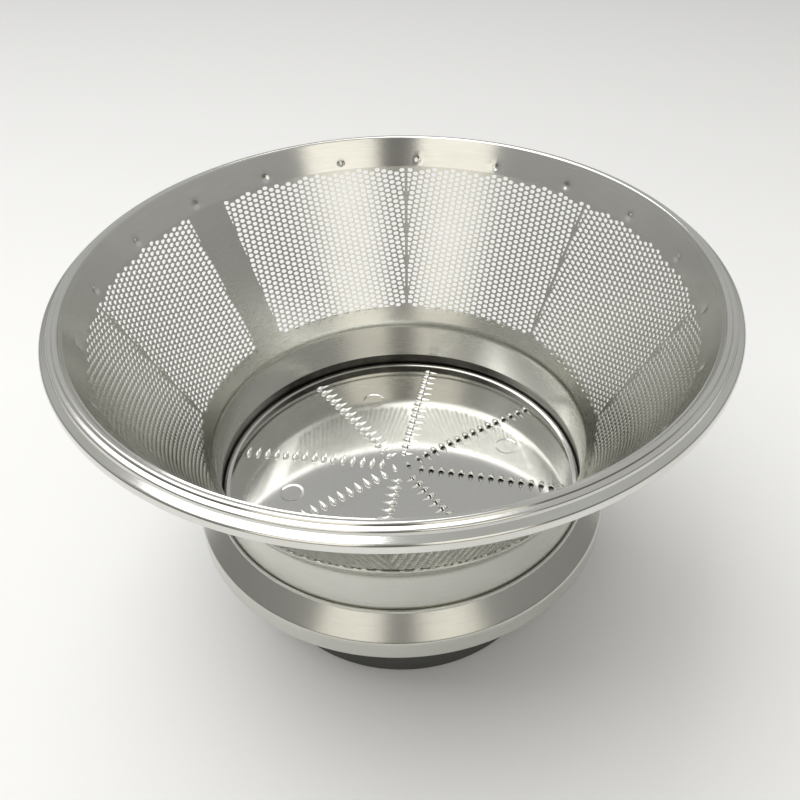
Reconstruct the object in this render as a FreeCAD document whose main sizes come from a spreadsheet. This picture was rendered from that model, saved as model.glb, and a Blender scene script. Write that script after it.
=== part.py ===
import FreeCAD, Part
import os
import re

import Sketcher

# Driving sizes in millimetres, angles in degrees, counts as whole numbers
SIZES = {
    "hub_height": 38.5,
    "hub_wall": 3.2,
    "hub_deck_thickness": 4.0,
    "hub_side_clearance": 0.1,
    "boss_wall": 7.0,
    "boss_recess": 4.0,
    "socket_radius": 8.0,
    "socket_roof": 8.5,
    "socket_key_width": 3.0,
    "socket_key_depth": 2.0,
    "socket_key_count": 3,
    "pan_thickness": 0.7,
    "pan_platform_radius": 46.0,
    "pan_channel_width": 7.9,
    "pan_channel_depth": 5.3,
    "pan_wall_height": 21.6,
    "pan_lip_length": 6.4,
    "sheet_clearance": 0.05,
    "cone_flare": 29.15,
    "cone_thickness": 0.5,
    "cone_height": 46.9,
    "cone_web": 2.0,
    "window_columns": 24,
    "window_rows": 4,
    "window_margin": 1.5,
    "seam_angle": 135.0,
    "rim_thickness": 0.6,
    "rim_band_length": 4.6,
    "rim_neck_height": 3.9,
    "rim_neck_width": 3.4,
    "rim_flange_width": 5.07,
    "rim_flange_droop": 1.7,
    "rim_skirt_height": 2.8,
    "flange_thickness": 0.8,
    "flange_width": 6.15,
    "flange_crown_height": 9.2,
    "flange_shoulder_drop": 6.1,
    "flange_skirt_height": 6.1,
    "disc_edge_gap": 2.4,
    "disc_thickness": 0.8,
    "tooth_row_count": 8,
    "tooth_row_angle": 80.0,
    "teeth_per_row": 14,
    "tooth_first_radius": 9.2,
    "tooth_edge_margin": 2.3,
    "tooth_width": 1.5,
    "tooth_crest_width": 0.7,
    "tooth_height": 1.0,
    "tooth_hood_length": 1.9,
    "tooth_tail_length": 2.9,
}

# Levels above the foot, radii and angles that follow from the driving sizes
FOLLOWING = {
    "deck_underside": "hub_height - hub_deck_thickness",
    "pan_top": "hub_height + pan_thickness",
    "disc_top": "pan_top + disc_thickness",
    "boss_radius": "socket_radius + boss_wall",
    "socket_top": "hub_height - socket_roof",
    "hub_radius": "pan_platform_radius - pan_thickness - hub_side_clearance",
    "hub_inner_radius": "hub_radius - hub_wall",
    "pan_radius": "pan_platform_radius + pan_channel_width",
    "pan_outer_radius": "pan_radius + pan_thickness",
    "channel_underside": "hub_height - pan_channel_depth",
    "channel_floor": "channel_underside + pan_thickness",
    "pan_knee": "channel_floor + pan_wall_height",
    "flare_sine": "sin(cone_flare)",
    "flare_cosine": "cos(cone_flare)",
    "flare_tangent": "tan(cone_flare)",
    "knee_mitre": "tan(cone_flare / 2)",
    "lip_radius": "pan_radius + pan_lip_length * flare_sine",
    "lip_top": "pan_knee + pan_lip_length * flare_cosine",
    "column_angle": "360 / window_columns",
    "flat_share": "cos(column_angle / 2)",
    "cone_corner_radius": "pan_radius - sheet_clearance / flare_cosine",
    "cone_flat_radius": "cone_corner_radius * flat_share",
    "cone_top": "pan_knee + cone_height",
    "cone_slope": "cone_height / flare_cosine",
    "cone_top_flat_radius": "cone_flat_radius + cone_height * flare_tangent",
    "window_start": "pan_lip_length + window_margin",
    "window_end": "cone_slope - rim_band_length - window_margin",
    "window_zone": "window_end - window_start",
    "window_height": "(window_zone - (window_rows - 1) * cone_web) / (window_rows * 0.75 + 0.25)",
    "window_pitch": "window_height * 0.75 + cone_web",
    "rim_seat_radius": "cone_top_flat_radius - (cone_thickness + sheet_clearance) / flare_cosine",
    "rim_bottom": "cone_top - rim_band_length * flare_cosine",
    "rim_bottom_radius": "rim_seat_radius - rim_band_length * flare_sine",
    "rim_knee": "cone_top + rim_thickness",
    "rim_knee_radius": "rim_seat_radius + rim_thickness * (flare_tangent - 1 / flare_cosine)",
    "rim_top": "rim_knee + rim_neck_height",
    "rim_neck_radius": "rim_knee_radius + rim_neck_width",
    "rim_radius": "rim_neck_radius + rim_flange_width",
    "rim_edge": "rim_top - rim_flange_droop",
    "flange_bore": "pan_outer_radius + sheet_clearance",
    "flange_radius": "flange_bore + flange_width",
    "flange_crown": "channel_underside + flange_crown_height",
    "flange_shoulder": "flange_crown - flange_shoulder_drop",
    "flange_fall": "flange_shoulder_drop / flange_width",
    "flange_drop": "flange_thickness * sqrt(1 + flange_fall * flange_fall)",
    "disc_radius": "pan_radius - disc_edge_gap",
    "tooth_row_length": "disc_radius - tooth_edge_margin - tooth_first_radius",
    "tooth_root": "pan_top + disc_thickness / 2",
    "tooth_top": "disc_top + tooth_height",
}

FULL_TURN = 360
NEAR = 0.001
ORIGIN_POINT = (-1, 1)
SIDEWAYS_AXIS = -1
UPRIGHT_AXIS = -2

doc = FreeCAD.newDocument("juicer_mesh_screen")
sheet = doc.addObject("Spreadsheet::Sheet", "Sizes")


def fill_sheet():
    """One row per size: its name, and its number or formula under that name."""
    cells = {name: str(value) for name, value in SIZES.items()}
    cells.update({name: "=" + formula for name, formula in FOLLOWING.items()})
    for row, (name, content) in enumerate(cells.items(), start=1):
        sheet.set(f"A{row}", name)
        sheet.set(f"B{row}", content)
        sheet.setAlias(f"B{row}", name)
    doc.recompute()


def sized(expression):
    """The expression with the sheet's name before each size."""
    return re.sub(r"[a-z]+(?:_[a-z]+)+", lambda word: "Sizes." + word.group(), expression)


def value_of(expression):
    """The number that an expression comes to now."""
    return float(sheet.evalExpression(sized(expression)))


def origin_item(body, role):
    return next(item for item in body.Origin.OriginFeatures if item.Role == role)


def new_body(name, turn=None):
    """An empty sub-part, turned about the upright axis where a turn is given."""
    body = doc.addObject("PartDesign::Body", name)
    body.Label = name
    if turn:
        upright = FreeCAD.Vector(0, 0, 1)
        body.Placement = FreeCAD.Placement(FreeCAD.Vector(), FreeCAD.Rotation(upright, value_of(turn)))
        body.setExpression("Placement.Rotation.Angle", sized(turn))
    return body


def new_sketch(body, name, plane, along=None, above=None):
    """A sketch on an origin plane, moved by lengths in the plane's own directions."""
    sketch = body.newObject("Sketcher::SketchObject", name)
    sketch.AttachmentSupport = (origin_item(body, plane), [""])
    sketch.MapMode = "FlatFace"
    for direction, length in (("y", along), ("z", above)):
        if length:
            sketch.setExpression(f"AttachmentOffset.Base.{direction}", sized(length))
    return sketch


def hold(sketch, kind, axis, point, length):
    """Holds one coordinate of a sketch point at a length from the origin."""
    if length == "0":
        sketch.addConstraint(Sketcher.Constraint("PointOnObject", *point, axis))
        return
    value = value_of(length)
    ends = (*ORIGIN_POINT, *point)
    if value < 0:
        ends = (*point, *ORIGIN_POINT)
        length = f"-({length})"
    number = sketch.addConstraint(Sketcher.Constraint(kind, *ends, abs(value)))
    sketch.setExpression(f"Constraints[{number}]", sized(length))


def hold_point(sketch, point, place):
    hold(sketch, "DistanceX", UPRIGHT_AXIS, point, place[0])
    hold(sketch, "DistanceY", SIDEWAYS_AXIS, point, place[1])


def draw_lines(sketch, corners):
    """A closed loop of straight lines, joined end to end."""
    lines = [
        sketch.addGeometry(Part.LineSegment(start, end), False)
        for start, end in zip(corners, corners[1:] + corners[:1])
    ]
    for line, following in zip(lines, lines[1:] + lines[:1]):
        sketch.addConstraint(Sketcher.Constraint("Coincident", line, 2, following, 1))
    return lines


def draw_outline(sketch, places):
    """A closed outline through places given as pairs of lengths."""
    lines = draw_lines(sketch, [FreeCAD.Vector(value_of(x), value_of(y), 0) for x, y in places])
    for line, place in zip(lines, places):
        hold_point(sketch, (line, 1), place)


def draw_polygon(sketch, sides, radius):
    """A regular polygon about the origin, with the middle of a side on the sideways axis."""
    corner = FreeCAD.Vector(value_of(radius), 0, 0)
    upright = FreeCAD.Vector(0, 0, 1)
    step = FULL_TURN / sides
    corners = [FreeCAD.Rotation(upright, (side - 0.5) * step).multVec(corner) for side in range(sides)]
    lines = draw_lines(sketch, corners)
    ring = sketch.addGeometry(Part.Circle(FreeCAD.Vector(), upright, corner.x), True)
    sketch.addConstraint(Sketcher.Constraint("Coincident", ring, 3, *ORIGIN_POINT))
    number = sketch.addConstraint(Sketcher.Constraint("Radius", ring, corner.x))
    sketch.setExpression(f"Constraints[{number}]", sized(radius))
    for line in lines:
        sketch.addConstraint(Sketcher.Constraint("PointOnObject", line, 1, ring))
    for line in lines[1:]:
        sketch.addConstraint(Sketcher.Constraint("Equal", lines[0], line))
    sketch.addConstraint(Sketcher.Constraint("Vertical", lines[0]))


def revolve(body, name, places):
    """A round solid from half its section, radius first and level second."""
    sketch = new_sketch(body, name + "Section", "XZ_Plane")
    draw_outline(sketch, places)
    solid = body.newObject("PartDesign::Revolution", name)
    solid.Profile = sketch
    solid.ReferenceAxis = (sketch, ["V_Axis"])
    solid.Angle = FULL_TURN


def repeat_round(body, name, feature, count, angle=None):
    """Copies of a feature round the upright axis, over a full turn unless an angle is given."""
    pattern = body.newObject("PartDesign::PolarPattern", name)
    pattern.Originals = [feature]
    pattern.Axis = (origin_item(body, "Z_Axis"), [""])
    pattern.Angle = FULL_TURN
    if angle:
        pattern.setExpression("Angle", sized(angle))
    pattern.setExpression("Occurrences", sized(count))
    body.Tip = pattern


def socket_keys(body):
    """Keyways along the drive socket."""
    sketch = new_sketch(body, "KeySection", "XY_Plane")
    draw_outline(sketch, [
        ("socket_radius / 2", "-socket_key_width / 2"),
        ("socket_radius + socket_key_depth", "-socket_key_width / 2"),
        ("socket_radius + socket_key_depth", "socket_key_width / 2"),
        ("socket_radius / 2", "socket_key_width / 2"),
    ])
    key = body.newObject("PartDesign::Pocket", "Key")
    key.Profile = sketch
    key.Reversed = True
    key.setExpression("Length", sized("socket_top"))
    repeat_round(body, "Keys", key, "socket_key_count")


def make_drive_hub():
    """Moulded hub open at the foot, with a keyed drive socket in its boss."""
    body = new_body("drive_hub")
    revolve(body, "HubShell", [
        ("hub_inner_radius", "0"),
        ("hub_radius", "0"),
        ("hub_radius", "hub_height"),
        ("0", "hub_height"),
        ("0", "socket_top"),
        ("socket_radius", "socket_top"),
        ("socket_radius", "boss_recess"),
        ("boss_radius", "boss_recess"),
        ("boss_radius", "deck_underside"),
        ("hub_inner_radius", "deck_underside"),
    ])
    socket_keys(body)
    return body


def make_basket_pan():
    """Pressed pan: raised platform, deep channel round it, wall, and a lip that carries the cone."""
    body = new_body("basket_pan")
    revolve(body, "PanSheet", [
        ("0", "hub_height"),
        ("pan_platform_radius - pan_thickness", "hub_height"),
        ("pan_platform_radius - pan_thickness", "channel_underside"),
        ("pan_outer_radius", "channel_underside"),
        ("pan_outer_radius", "pan_knee - pan_thickness * knee_mitre"),
        ("lip_radius + pan_thickness * flare_cosine", "lip_top - pan_thickness * flare_sine"),
        ("lip_radius", "lip_top"),
        ("pan_radius", "pan_knee"),
        ("pan_radius", "channel_floor"),
        ("pan_platform_radius", "channel_floor"),
        ("pan_platform_radius", "pan_top"),
        ("0", "pan_top"),
    ])
    return body


def make_base_flange():
    """Sloped ring round the pan wall, with a skirt turned down outside."""
    body = new_body("base_flange")
    revolve(body, "FlangeSheet", [
        ("flange_bore", "flange_crown - flange_drop"),
        ("flange_bore", "flange_crown"),
        ("flange_radius", "flange_shoulder"),
        ("flange_radius", "flange_shoulder - flange_skirt_height"),
        ("flange_radius - flange_thickness", "flange_shoulder - flange_skirt_height"),
        ("flange_radius - flange_thickness",
         "flange_shoulder + flange_thickness * flange_fall - flange_drop"),
    ])
    return body


def half_column(slope):
    """Half the width of a flat, at a distance up its slope."""
    return f"(cone_flat_radius + {slope} * flare_sine) * tan(column_angle / 2)"


def draw_window(sketch, row):
    """One six-sided window: on a flat, or in alternate rows on the bend beside it."""
    middle = f"(window_start + window_height / 2 + {row} * window_pitch)"
    low_point = f"({middle} - window_height / 2)"
    high_point = f"({middle} + window_height / 2)"
    low_side = f"{middle} - window_height / 4"
    high_side = f"{middle} + window_height / 4"
    if row % 2:
        low_centre = half_column(low_point)
        high_centre = half_column(high_point)
        left = "cone_web / 2"
        right = f"2 * {half_column(middle)} - cone_web / 2"
    else:
        low_centre = "0"
        high_centre = "0"
        right = f"{half_column(middle)} - cone_web / 2"
        left = f"-({right})"
    draw_outline(sketch, [
        (low_centre, low_point),
        (right, low_side),
        (right, high_side),
        (high_centre, high_point),
        (left, high_side),
        (left, low_side),
    ])


def cone_windows(body):
    """Rows of windows over the screen wall, with one column left plain for the seam."""
    sketch = new_sketch(body, "WindowColumn", "YZ_Plane", along="pan_knee", above="cone_flat_radius")
    tilt = FreeCAD.Rotation(FreeCAD.Vector(1, 0, 0), value_of("cone_flare"))
    sketch.AttachmentOffset = FreeCAD.Placement(sketch.AttachmentOffset.Base, tilt)
    sketch.setExpression("AttachmentOffset.Rotation.Angle", sized("cone_flare"))
    for row in range(int(value_of("window_rows"))):
        draw_window(sketch, row)
    column = body.newObject("PartDesign::Pocket", "Windows")
    column.Profile = sketch
    column.Midplane = True
    column.setExpression("Length", sized("cone_flat_radius / 2"))
    repeat_round(body, "WindowColumns", column, "window_columns - 1",
                 angle="column_angle * (window_columns - 2)")


def face_names(shape, level):
    """Names of the faces that lie flat at a level."""
    return [
        f"Face{number}" for number, face in enumerate(shape.Faces, start=1)
        if max(abs(corner.Z - level) for corner in face.Vertexes) < NEAR
    ]


def make_mesh_cone():
    """Flared screen wall, one narrow flat for each column of windows, lapped inside the pan's lip."""
    body = new_body("mesh_cone", turn="seam_angle + column_angle * 0.75")
    sketch = new_sketch(body, "ConeFoot", "XY_Plane", above="pan_knee")
    draw_polygon(sketch, int(value_of("window_columns")), "cone_corner_radius")
    block = body.newObject("PartDesign::Pad", "ConeBlock")
    block.Profile = sketch
    block.setExpression("Length", sized("cone_height"))
    doc.recompute()
    lower = face_names(block.Shape, value_of("pan_knee"))
    upper = face_names(block.Shape, value_of("cone_top"))
    every = [f"Face{number}" for number in range(1, len(block.Shape.Faces) + 1)]
    flare = body.newObject("PartDesign::Draft", "ConeFlare")
    flare.Base = (block, [name for name in every if name not in lower + upper])
    flare.NeutralPlane = (block, lower)
    flare.Reversed = True
    flare.setExpression("Angle", sized("cone_flare"))
    doc.recompute()
    lower = face_names(flare.Shape, value_of("pan_knee"))
    upper = face_names(flare.Shape, value_of("cone_top"))
    wall = body.newObject("PartDesign::Thickness", "ConeWall")
    wall.Base = (flare, lower + upper)
    wall.setExpression("Value", sized("cone_thickness"))
    wall.Join = "Intersection"
    wall.Reversed = True
    cone_windows(body)
    return body


def make_rim_ring():
    """Rolled rim: band inside the cone, neck, flange that slopes outwards and a turned-down skirt."""
    body = new_body("rim_ring")
    revolve(body, "RimSheet", [
        ("rim_bottom_radius - rim_thickness * flare_cosine", "rim_bottom + rim_thickness * flare_sine"),
        ("rim_bottom_radius", "rim_bottom"),
        ("rim_seat_radius", "cone_top"),
        ("rim_neck_radius + rim_thickness * 0.3", "rim_top - rim_thickness * 1.15"),
        ("rim_radius - rim_thickness", "rim_edge - rim_thickness * 0.7"),
        ("rim_radius - rim_thickness", "rim_edge - rim_skirt_height"),
        ("rim_radius", "rim_edge - rim_skirt_height"),
        ("rim_radius", "rim_edge"),
        ("rim_neck_radius", "rim_top"),
        ("rim_knee_radius", "rim_knee"),
    ])
    return body


def tooth_hood(body):
    """A ridge along the tooth, narrower at its crest, as tall as the cutting edge."""
    sketch = new_sketch(body, "ToothMouth", "XZ_Plane")
    draw_outline(sketch, [
        ("tooth_first_radius - tooth_width / 2", "tooth_root"),
        ("tooth_first_radius + tooth_width / 2", "tooth_root"),
        ("tooth_first_radius + tooth_crest_width / 2", "tooth_top"),
        ("tooth_first_radius - tooth_crest_width / 2", "tooth_top"),
    ])
    hood = body.newObject("PartDesign::Pad", "ToothHood")
    hood.Profile = sketch
    hood.Reversed = True
    hood.setExpression("Length", sized("tooth_hood_length"))
    return hood


def tooth_back(body):
    """The slope behind the cutting edge, cut down to the disc."""
    sketch = new_sketch(body, "ToothBackSlope", "YZ_Plane", above="tooth_first_radius")
    draw_outline(sketch, [
        ("0", "tooth_top"),
        ("tooth_hood_length", "disc_top"),
        ("tooth_hood_length * 2", "disc_top"),
        ("tooth_hood_length * 2", "tooth_top + tooth_height"),
        ("0", "tooth_top + tooth_height"),
    ])
    back = body.newObject("PartDesign::Pocket", "ToothBack")
    back.Profile = sketch
    back.Midplane = True
    back.setExpression("Length", sized("tooth_width * 1.2"))
    return back


def tooth_slot(body):
    """The pointed slot in front of a hood's cutting edge."""
    sketch = new_sketch(body, "ToothSlotOutline", "XY_Plane")
    draw_outline(sketch, [
        ("tooth_first_radius - tooth_width / 2", "0"),
        ("tooth_first_radius", "-tooth_tail_length"),
        ("tooth_first_radius + tooth_width / 2", "0"),
    ])
    slot = body.newObject("PartDesign::Pocket", "ToothSlot")
    slot.Profile = sketch
    slot.Type = "ThroughAll"
    slot.Reversed = True
    return slot


def repeat_teeth(body, features):
    """Straight rows of teeth, repeated round the disc."""
    teeth = body.newObject("PartDesign::MultiTransform", "Teeth")
    teeth.Originals = features
    row = body.newObject("PartDesign::LinearPattern", "ToothRow")
    row.Direction = (origin_item(body, "X_Axis"), [""])
    row.setExpression("Length", sized("tooth_row_length"))
    row.setExpression("Occurrences", sized("teeth_per_row"))
    rows = body.newObject("PartDesign::PolarPattern", "ToothRows")
    rows.Axis = (origin_item(body, "Z_Axis"), [""])
    rows.Angle = FULL_TURN
    rows.setExpression("Occurrences", sized("tooth_row_count"))
    teeth.Transformations = [row, rows]
    body.Tip = teeth


def make_grater_disc():
    """Flat disc on the pan's platform, with straight rows of hooded teeth."""
    body = new_body("grater_disc", turn="tooth_row_angle")
    revolve(body, "DiscPlate", [
        ("0", "pan_top"),
        ("disc_radius", "pan_top"),
        ("disc_radius", "disc_top"),
        ("0", "disc_top"),
    ])
    repeat_teeth(body, [tooth_hood(body), tooth_back(body), tooth_slot(body)])
    return body


def check_model(bodies):
    """Stops on any feature or solid that did not come out."""
    for item in doc.Objects:
        if "Invalid" in item.State or "Error" in item.State:
            raise RuntimeError(f"{item.Name} did not build: {item.State}")
    for body in bodies:
        if body.Shape.isNull() or not body.Shape.isValid():
            raise RuntimeError(f"{body.Label} has no valid shape")


def write_parts(bodies):
    os.makedirs("parts", exist_ok=True)
    for body in bodies:
        body.Shape.exportStep(f"parts/{body.Label}.step")
        print(f"{body.Label}: {len(body.Shape.Solids)} solids, {body.Shape.Volume:.1f} cubic mm")


fill_sheet()
sub_parts = [
    make_drive_hub(),
    make_basket_pan(),
    make_base_flange(),
    make_mesh_cone(),
    make_rim_ring(),
    make_grater_disc(),
]
doc.recompute()
check_model(sub_parts)
write_parts(sub_parts)
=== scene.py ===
"""Perforated steel screen basket of a centrifugal juicer, dressed for rendering."""
import math

import bmesh
import bpy
import numpy as np
from mathutils import Matrix, Vector
from mathutils.geometry import delaunay_2d_cdt


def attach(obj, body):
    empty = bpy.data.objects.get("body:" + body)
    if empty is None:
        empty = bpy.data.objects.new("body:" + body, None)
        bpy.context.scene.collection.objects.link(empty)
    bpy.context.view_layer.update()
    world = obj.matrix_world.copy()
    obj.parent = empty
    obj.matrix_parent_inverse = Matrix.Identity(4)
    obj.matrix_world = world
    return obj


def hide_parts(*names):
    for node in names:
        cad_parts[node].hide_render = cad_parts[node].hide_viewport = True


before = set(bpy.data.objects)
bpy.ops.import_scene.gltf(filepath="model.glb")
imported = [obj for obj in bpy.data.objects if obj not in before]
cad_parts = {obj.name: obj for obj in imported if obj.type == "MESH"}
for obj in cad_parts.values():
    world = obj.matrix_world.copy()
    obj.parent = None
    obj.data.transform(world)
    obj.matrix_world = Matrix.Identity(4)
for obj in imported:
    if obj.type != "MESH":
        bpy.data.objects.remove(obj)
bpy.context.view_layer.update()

MM = 0.001
FULL_TURN = 2 * math.pi

# Sizes in millimetres and degrees, in the part's own frame
SHEET = 0.7
MESH_SHEET = 0.5
RIM_SHEET = 0.6
SHEET_GAP = 0.03
BEND_GUARD = 0.12
FOLD_CREASE = 60.0
EDGE_CREASE = 35.0
RIM_SEGMENTS = 384
PAN_SEGMENTS = 288
HUB_SEGMENTS = 192
CONE_TILT = math.radians(29.5)
CONE_SLOPE = math.tan(CONE_TILT)
CONE_SIN = math.sin(CONE_TILT)
CONE_COS = math.cos(CONE_TILT)
CONE_TOP_RADIUS = 79.1
CONE_TOP_HEIGHT = 102.4
CONE_APEX = CONE_TOP_HEIGHT - CONE_TOP_RADIUS / CONE_SLOPE
CONE_RIM_END = 106.4
COLLAR_RADIUS = 52.95
COLLAR_FOOT = 44.8
KNEE_BEND = 6.0
PANEL_COUNT = 8
PANEL_ANGLE = 360 / PANEL_COUNT
PANEL_LINE = 88.9
PANEL_STEPS = 36
SIDE_STEPS = 30
SEAM_START, SEAM_END = 133.9, 142.9
SEAM_INSET = 1.2
SEAM_LOWEST, SEAM_HIGHEST = 113.8, 157.2
SEAM_SHEET = 0.45
SEAM_WIDTH = 9.0
SEAM_WELD_FIRST = 118.0
SEAM_WELD_PITCH = 5.0
SEAM_WELD_DEPTH = 0.25
SEAM_WELD_SPREAD = 0.9
HOLE_COLUMN = 1.92
HOLE_PITCH = 1.508
HOLE_WIDTH = 1.62
HOLE_HEIGHT = 1.12
HOLE_SQUARENESS = 2.5
HOLE_SIDES = 16
HOLE_COLUMNS = 21
HOLE_ROWS = 32
HOLE_SMALLEST_SHARE = 0.2
PLAIN_ROWS = (-4, 42)
HOLES_LOWEST = 112.4
HOLES_HIGHEST = 156.9
BAND_FOOT = 157.7
LINE_MARGIN = 0.45
RIM_WELDS = 20
RIM_WELD_ANGLE = 86.0
RIM_WELD_HEIGHT = 101.6
RIM_WELD_DEPTH = 0.3
RIM_WELD_SPREAD = 0.85
DENT_SEEN = 0.004
PAN_WALL = 53.85
# Top of the painted shade in the channel round the disc
CHANNEL_SHADE_TOP = 42.1
DISC_RADIUS = 53.0
DISC_FOOT, DISC_TOP = 39.2, 40.0
DISC_BORDER = 51.1
DISC_BORDER_RISE = 0.3
DISC_BORDER_WIDTH = 1.2
DISC_EDGE_ROUND = 0.45
DISC_SEGMENTS = 240
DISC_CROWN = 1.8
TOOTH_ROWS = 8
TOOTH_ROW_ANGLE = 80.0
TEETH_PER_ROW = 15
TOOTH_FIRST = 6.1
TOOTH_LAST = 48.0
TOOTH_HEAD = 1.9
TOOTH_TAIL = 2.9
TOOTH_TAIL_POWER = 0.8
TOOTH_HALF_WIDTH = 0.95
TOOTH_HEIGHT = 1.0
TOOTH_DIP = 0.35
TOOTH_COLUMNS = 8
TOOTH_STEPS = 4
TOOTH_SKIN = 0.3
TOOTH_CLEARANCE = 0.3
TOOTH_FIRST_SCALE = 0.85
CENTRE_TOOTH_RADIUS = 2.1
CENTRE_TOOTH_ANGLES = (200.0, 20.0)
CENTRE_TOOTH_SCALE = 0.75
DISC_WELDS = 4
DISC_WELD_PLACE = 33.5
DISC_WELD_ANGLE = 17.0
DISC_WELD_RADIUS = 3.6
DISC_WELD_DEPTH = 0.13
DISC_WELD_EDGE = 0.7
HUB_RADIUS = 44.2
HUB_INNER = 41.6
HUB_TOP = 38.5
HUB_DECK = 34.5
BOSS_RADIUS = 15.0
BOSS_FOOT = 4.0
SOCKET_RADIUS = 8.0
SOCKET_END = 30.0
KEY_REACH = 10.0
KEY_WIDTH = 3.0
KEYS = 3


# Mesh helpers

def new_piece(name, verts, faces, material, crease=40.0):
    """Makes a smooth-shaded mesh from millimetres, with steep creases crisp, riding on the part."""
    mesh = bpy.data.meshes.new(name)
    mesh.from_pydata((np.asarray(verts, float) * MM).tolist(), [], faces)
    work = bmesh.new()
    work.from_mesh(mesh)
    bmesh.ops.recalc_face_normals(work, faces=work.faces)
    work.to_mesh(mesh)
    work.free()
    mesh.polygons.foreach_set("use_smooth", [True] * len(mesh.polygons))
    mesh.set_sharp_from_angle(angle=math.radians(crease))
    mesh.materials.append(material)
    piece = bpy.data.objects.new(name, mesh)
    bpy.context.scene.collection.objects.link(piece)
    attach(piece, "root")
    return piece


def bend_line(corners, arc_step=9.0, longest=3.0, guard=BEND_GUARD):
    """Places and sideways directions along a line whose corners are (radius, height, bend radius)."""
    spots = [Vector(c[:2]) for c in corners]
    bends = {}
    for i in range(1, len(spots) - 1):
        behind = (spots[i] - spots[i - 1]).normalized()
        ahead = (spots[i + 1] - spots[i]).normalized()
        turn = math.atan2(behind.cross(ahead), behind.dot(ahead))
        reach = corners[i][2] * math.tan(abs(turn) / 2)
        bends[i] = (behind, turn, spots[i] - behind * reach, spots[i] + ahead * reach)
    samples = []
    for i in range(len(spots) - 1):
        start = bends[i][3] if i in bends else spots[i]
        end = bends[i + 1][2] if i + 1 in bends else spots[i + 1]
        samples += run_samples(start, end, longest, guard)
        if i + 1 in bends:
            samples += bend_samples(bends[i + 1], corners[i + 1][2], arc_step)
    return samples


def run_samples(start, end, longest, guard):
    """Samples along a straight run, with one close to each end so that bends shade crisply."""
    way = end - start
    side = Vector((-way.y, way.x)).normalized()
    count = max(1, math.ceil(way.length / longest))
    steps = {k / count for k in range(count + 1)}
    if way.length > 4 * guard:
        steps |= {guard / way.length, 1 - guard / way.length}
    return [(start + way * t, side) for t in sorted(steps)]


def bend_samples(bend, radius, step):
    """Samples inside one bend, without its two ends."""
    behind, turn, start, _ = bend
    side = Vector((-behind.y, behind.x))
    centre = start + side * math.copysign(radius, turn)
    count = max(2, math.ceil(math.degrees(abs(turn)) / step))
    samples = []
    for k in range(1, count):
        spin = Matrix.Rotation(turn * k / count, 2)
        samples.append((centre + spin @ (start - centre), spin @ side))
    return samples


def cut_edge(place, side, half):
    """Half circle of points round a sheet's cut edge, from one side to the other."""
    spins = [Matrix.Rotation(-math.radians(a), 2) for a in (30, 60, 90, 120, 150)]
    return [place + spin @ side * half for spin in spins]


def sheet_outline(corners, thickness, from_axis=False):
    """Outline of bent sheet metal round its middle line, with rounded cut edges."""
    samples = bend_line(corners)
    half = thickness / 2
    upper = [place + side * half for place, side in samples]
    lower = [place - side * half for place, side in samples]
    outline = upper + cut_edge(*samples[-1], half) + lower[::-1]
    if not from_axis:
        outline += cut_edge(samples[0][0], -samples[0][1], half)
    return outline


def turn_round(outline, segments, closed=True):
    """Verts and faces of an outline turned round Z; if it isn't closed, its two ends lie on the axis."""
    angles = np.arange(segments) * FULL_TURN / segments
    body = outline if closed else outline[1:-1]
    radii = np.array([p[0] for p in body])[:, None]
    verts = np.empty((len(body), segments, 3))
    verts[:, :, 0] = radii * np.cos(angles)
    verts[:, :, 1] = radii * np.sin(angles)
    verts[:, :, 2] = np.array([p[1] for p in body])[:, None]
    faces = []
    for i in range(len(body) if closed else len(body) - 1):
        here, there = i * segments, (i + 1) % len(body) * segments
        faces += [(here + k, there + k, there + (k + 1) % segments, here + (k + 1) % segments)
                  for k in range(segments)]
    verts = verts.reshape(-1, 3)
    if not closed:
        poles = [(0, 0, outline[0][1]), (0, 0, outline[-1][1])]
        last = (len(body) - 1) * segments
        count = len(verts)
        verts = np.vstack([verts, poles])
        faces += [(count, k, (k + 1) % segments) for k in range(segments)]
        faces += [(count + 1, last + k, last + (k + 1) % segments) for k in range(segments)]
    return verts, faces


def fill_plan(outer, holes, lines=(), points=()):
    """Plan points, triangles and each loop's point numbers, between an outer loop and its holes."""
    coords = []
    edges = []
    owner = []
    loops = []
    for number, loop in enumerate([outer, *holes]):
        base = len(coords)
        loops.append(list(range(base, base + len(loop))))
        edges += [(base + k, base + (k + 1) % len(loop)) for k in range(len(loop))]
        owner += [number] * len(loop)
        coords += loop
    for line in lines:
        base = len(coords)
        edges += [(base + k, base + k + 1) for k in range(len(line) - 1)]
        owner += [0] * len(line)
        coords += line
    owner += [0] * len(points)
    coords += points
    found = delaunay_2d_cdt([Vector(p) for p in coords], edges, [], 1, 1e-7)
    source = [origin[0] for origin in found[3]]
    plan = []
    for face in found[2]:
        corners = tuple(source[v] for v in face)
        owners = {owner[c] for c in corners}
        if len(owners) > 1 or owners == {0}:
            plan.append(corners)
    return coords, plan, loops


def ring_faces(first, second):
    """Quads between two loops of as many points."""
    pairs = zip(first, first[1:] + first[:1], second, second[1:] + second[:1])
    return [(a, b, d, c) for a, b, c, d in pairs]


def walls(loop, offset):
    """Quads that join a loop of one skin with the same loop of the other."""
    return ring_faces(loop, [v + offset for v in loop])


# Mesh cone

KNEE_CORNER = COLLAR_RADIUS / CONE_SIN
KNEE_REACH = KNEE_BEND * math.tan(CONE_TILT / 2)
KNEE_HEIGHT = CONE_APEX + KNEE_CORNER * CONE_COS
CONE_FOOT_END = KNEE_CORNER - (KNEE_HEIGHT - COLLAR_FOOT)
CONE_TOP_END = (CONE_RIM_END - CONE_APEX) / CONE_COS


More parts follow.
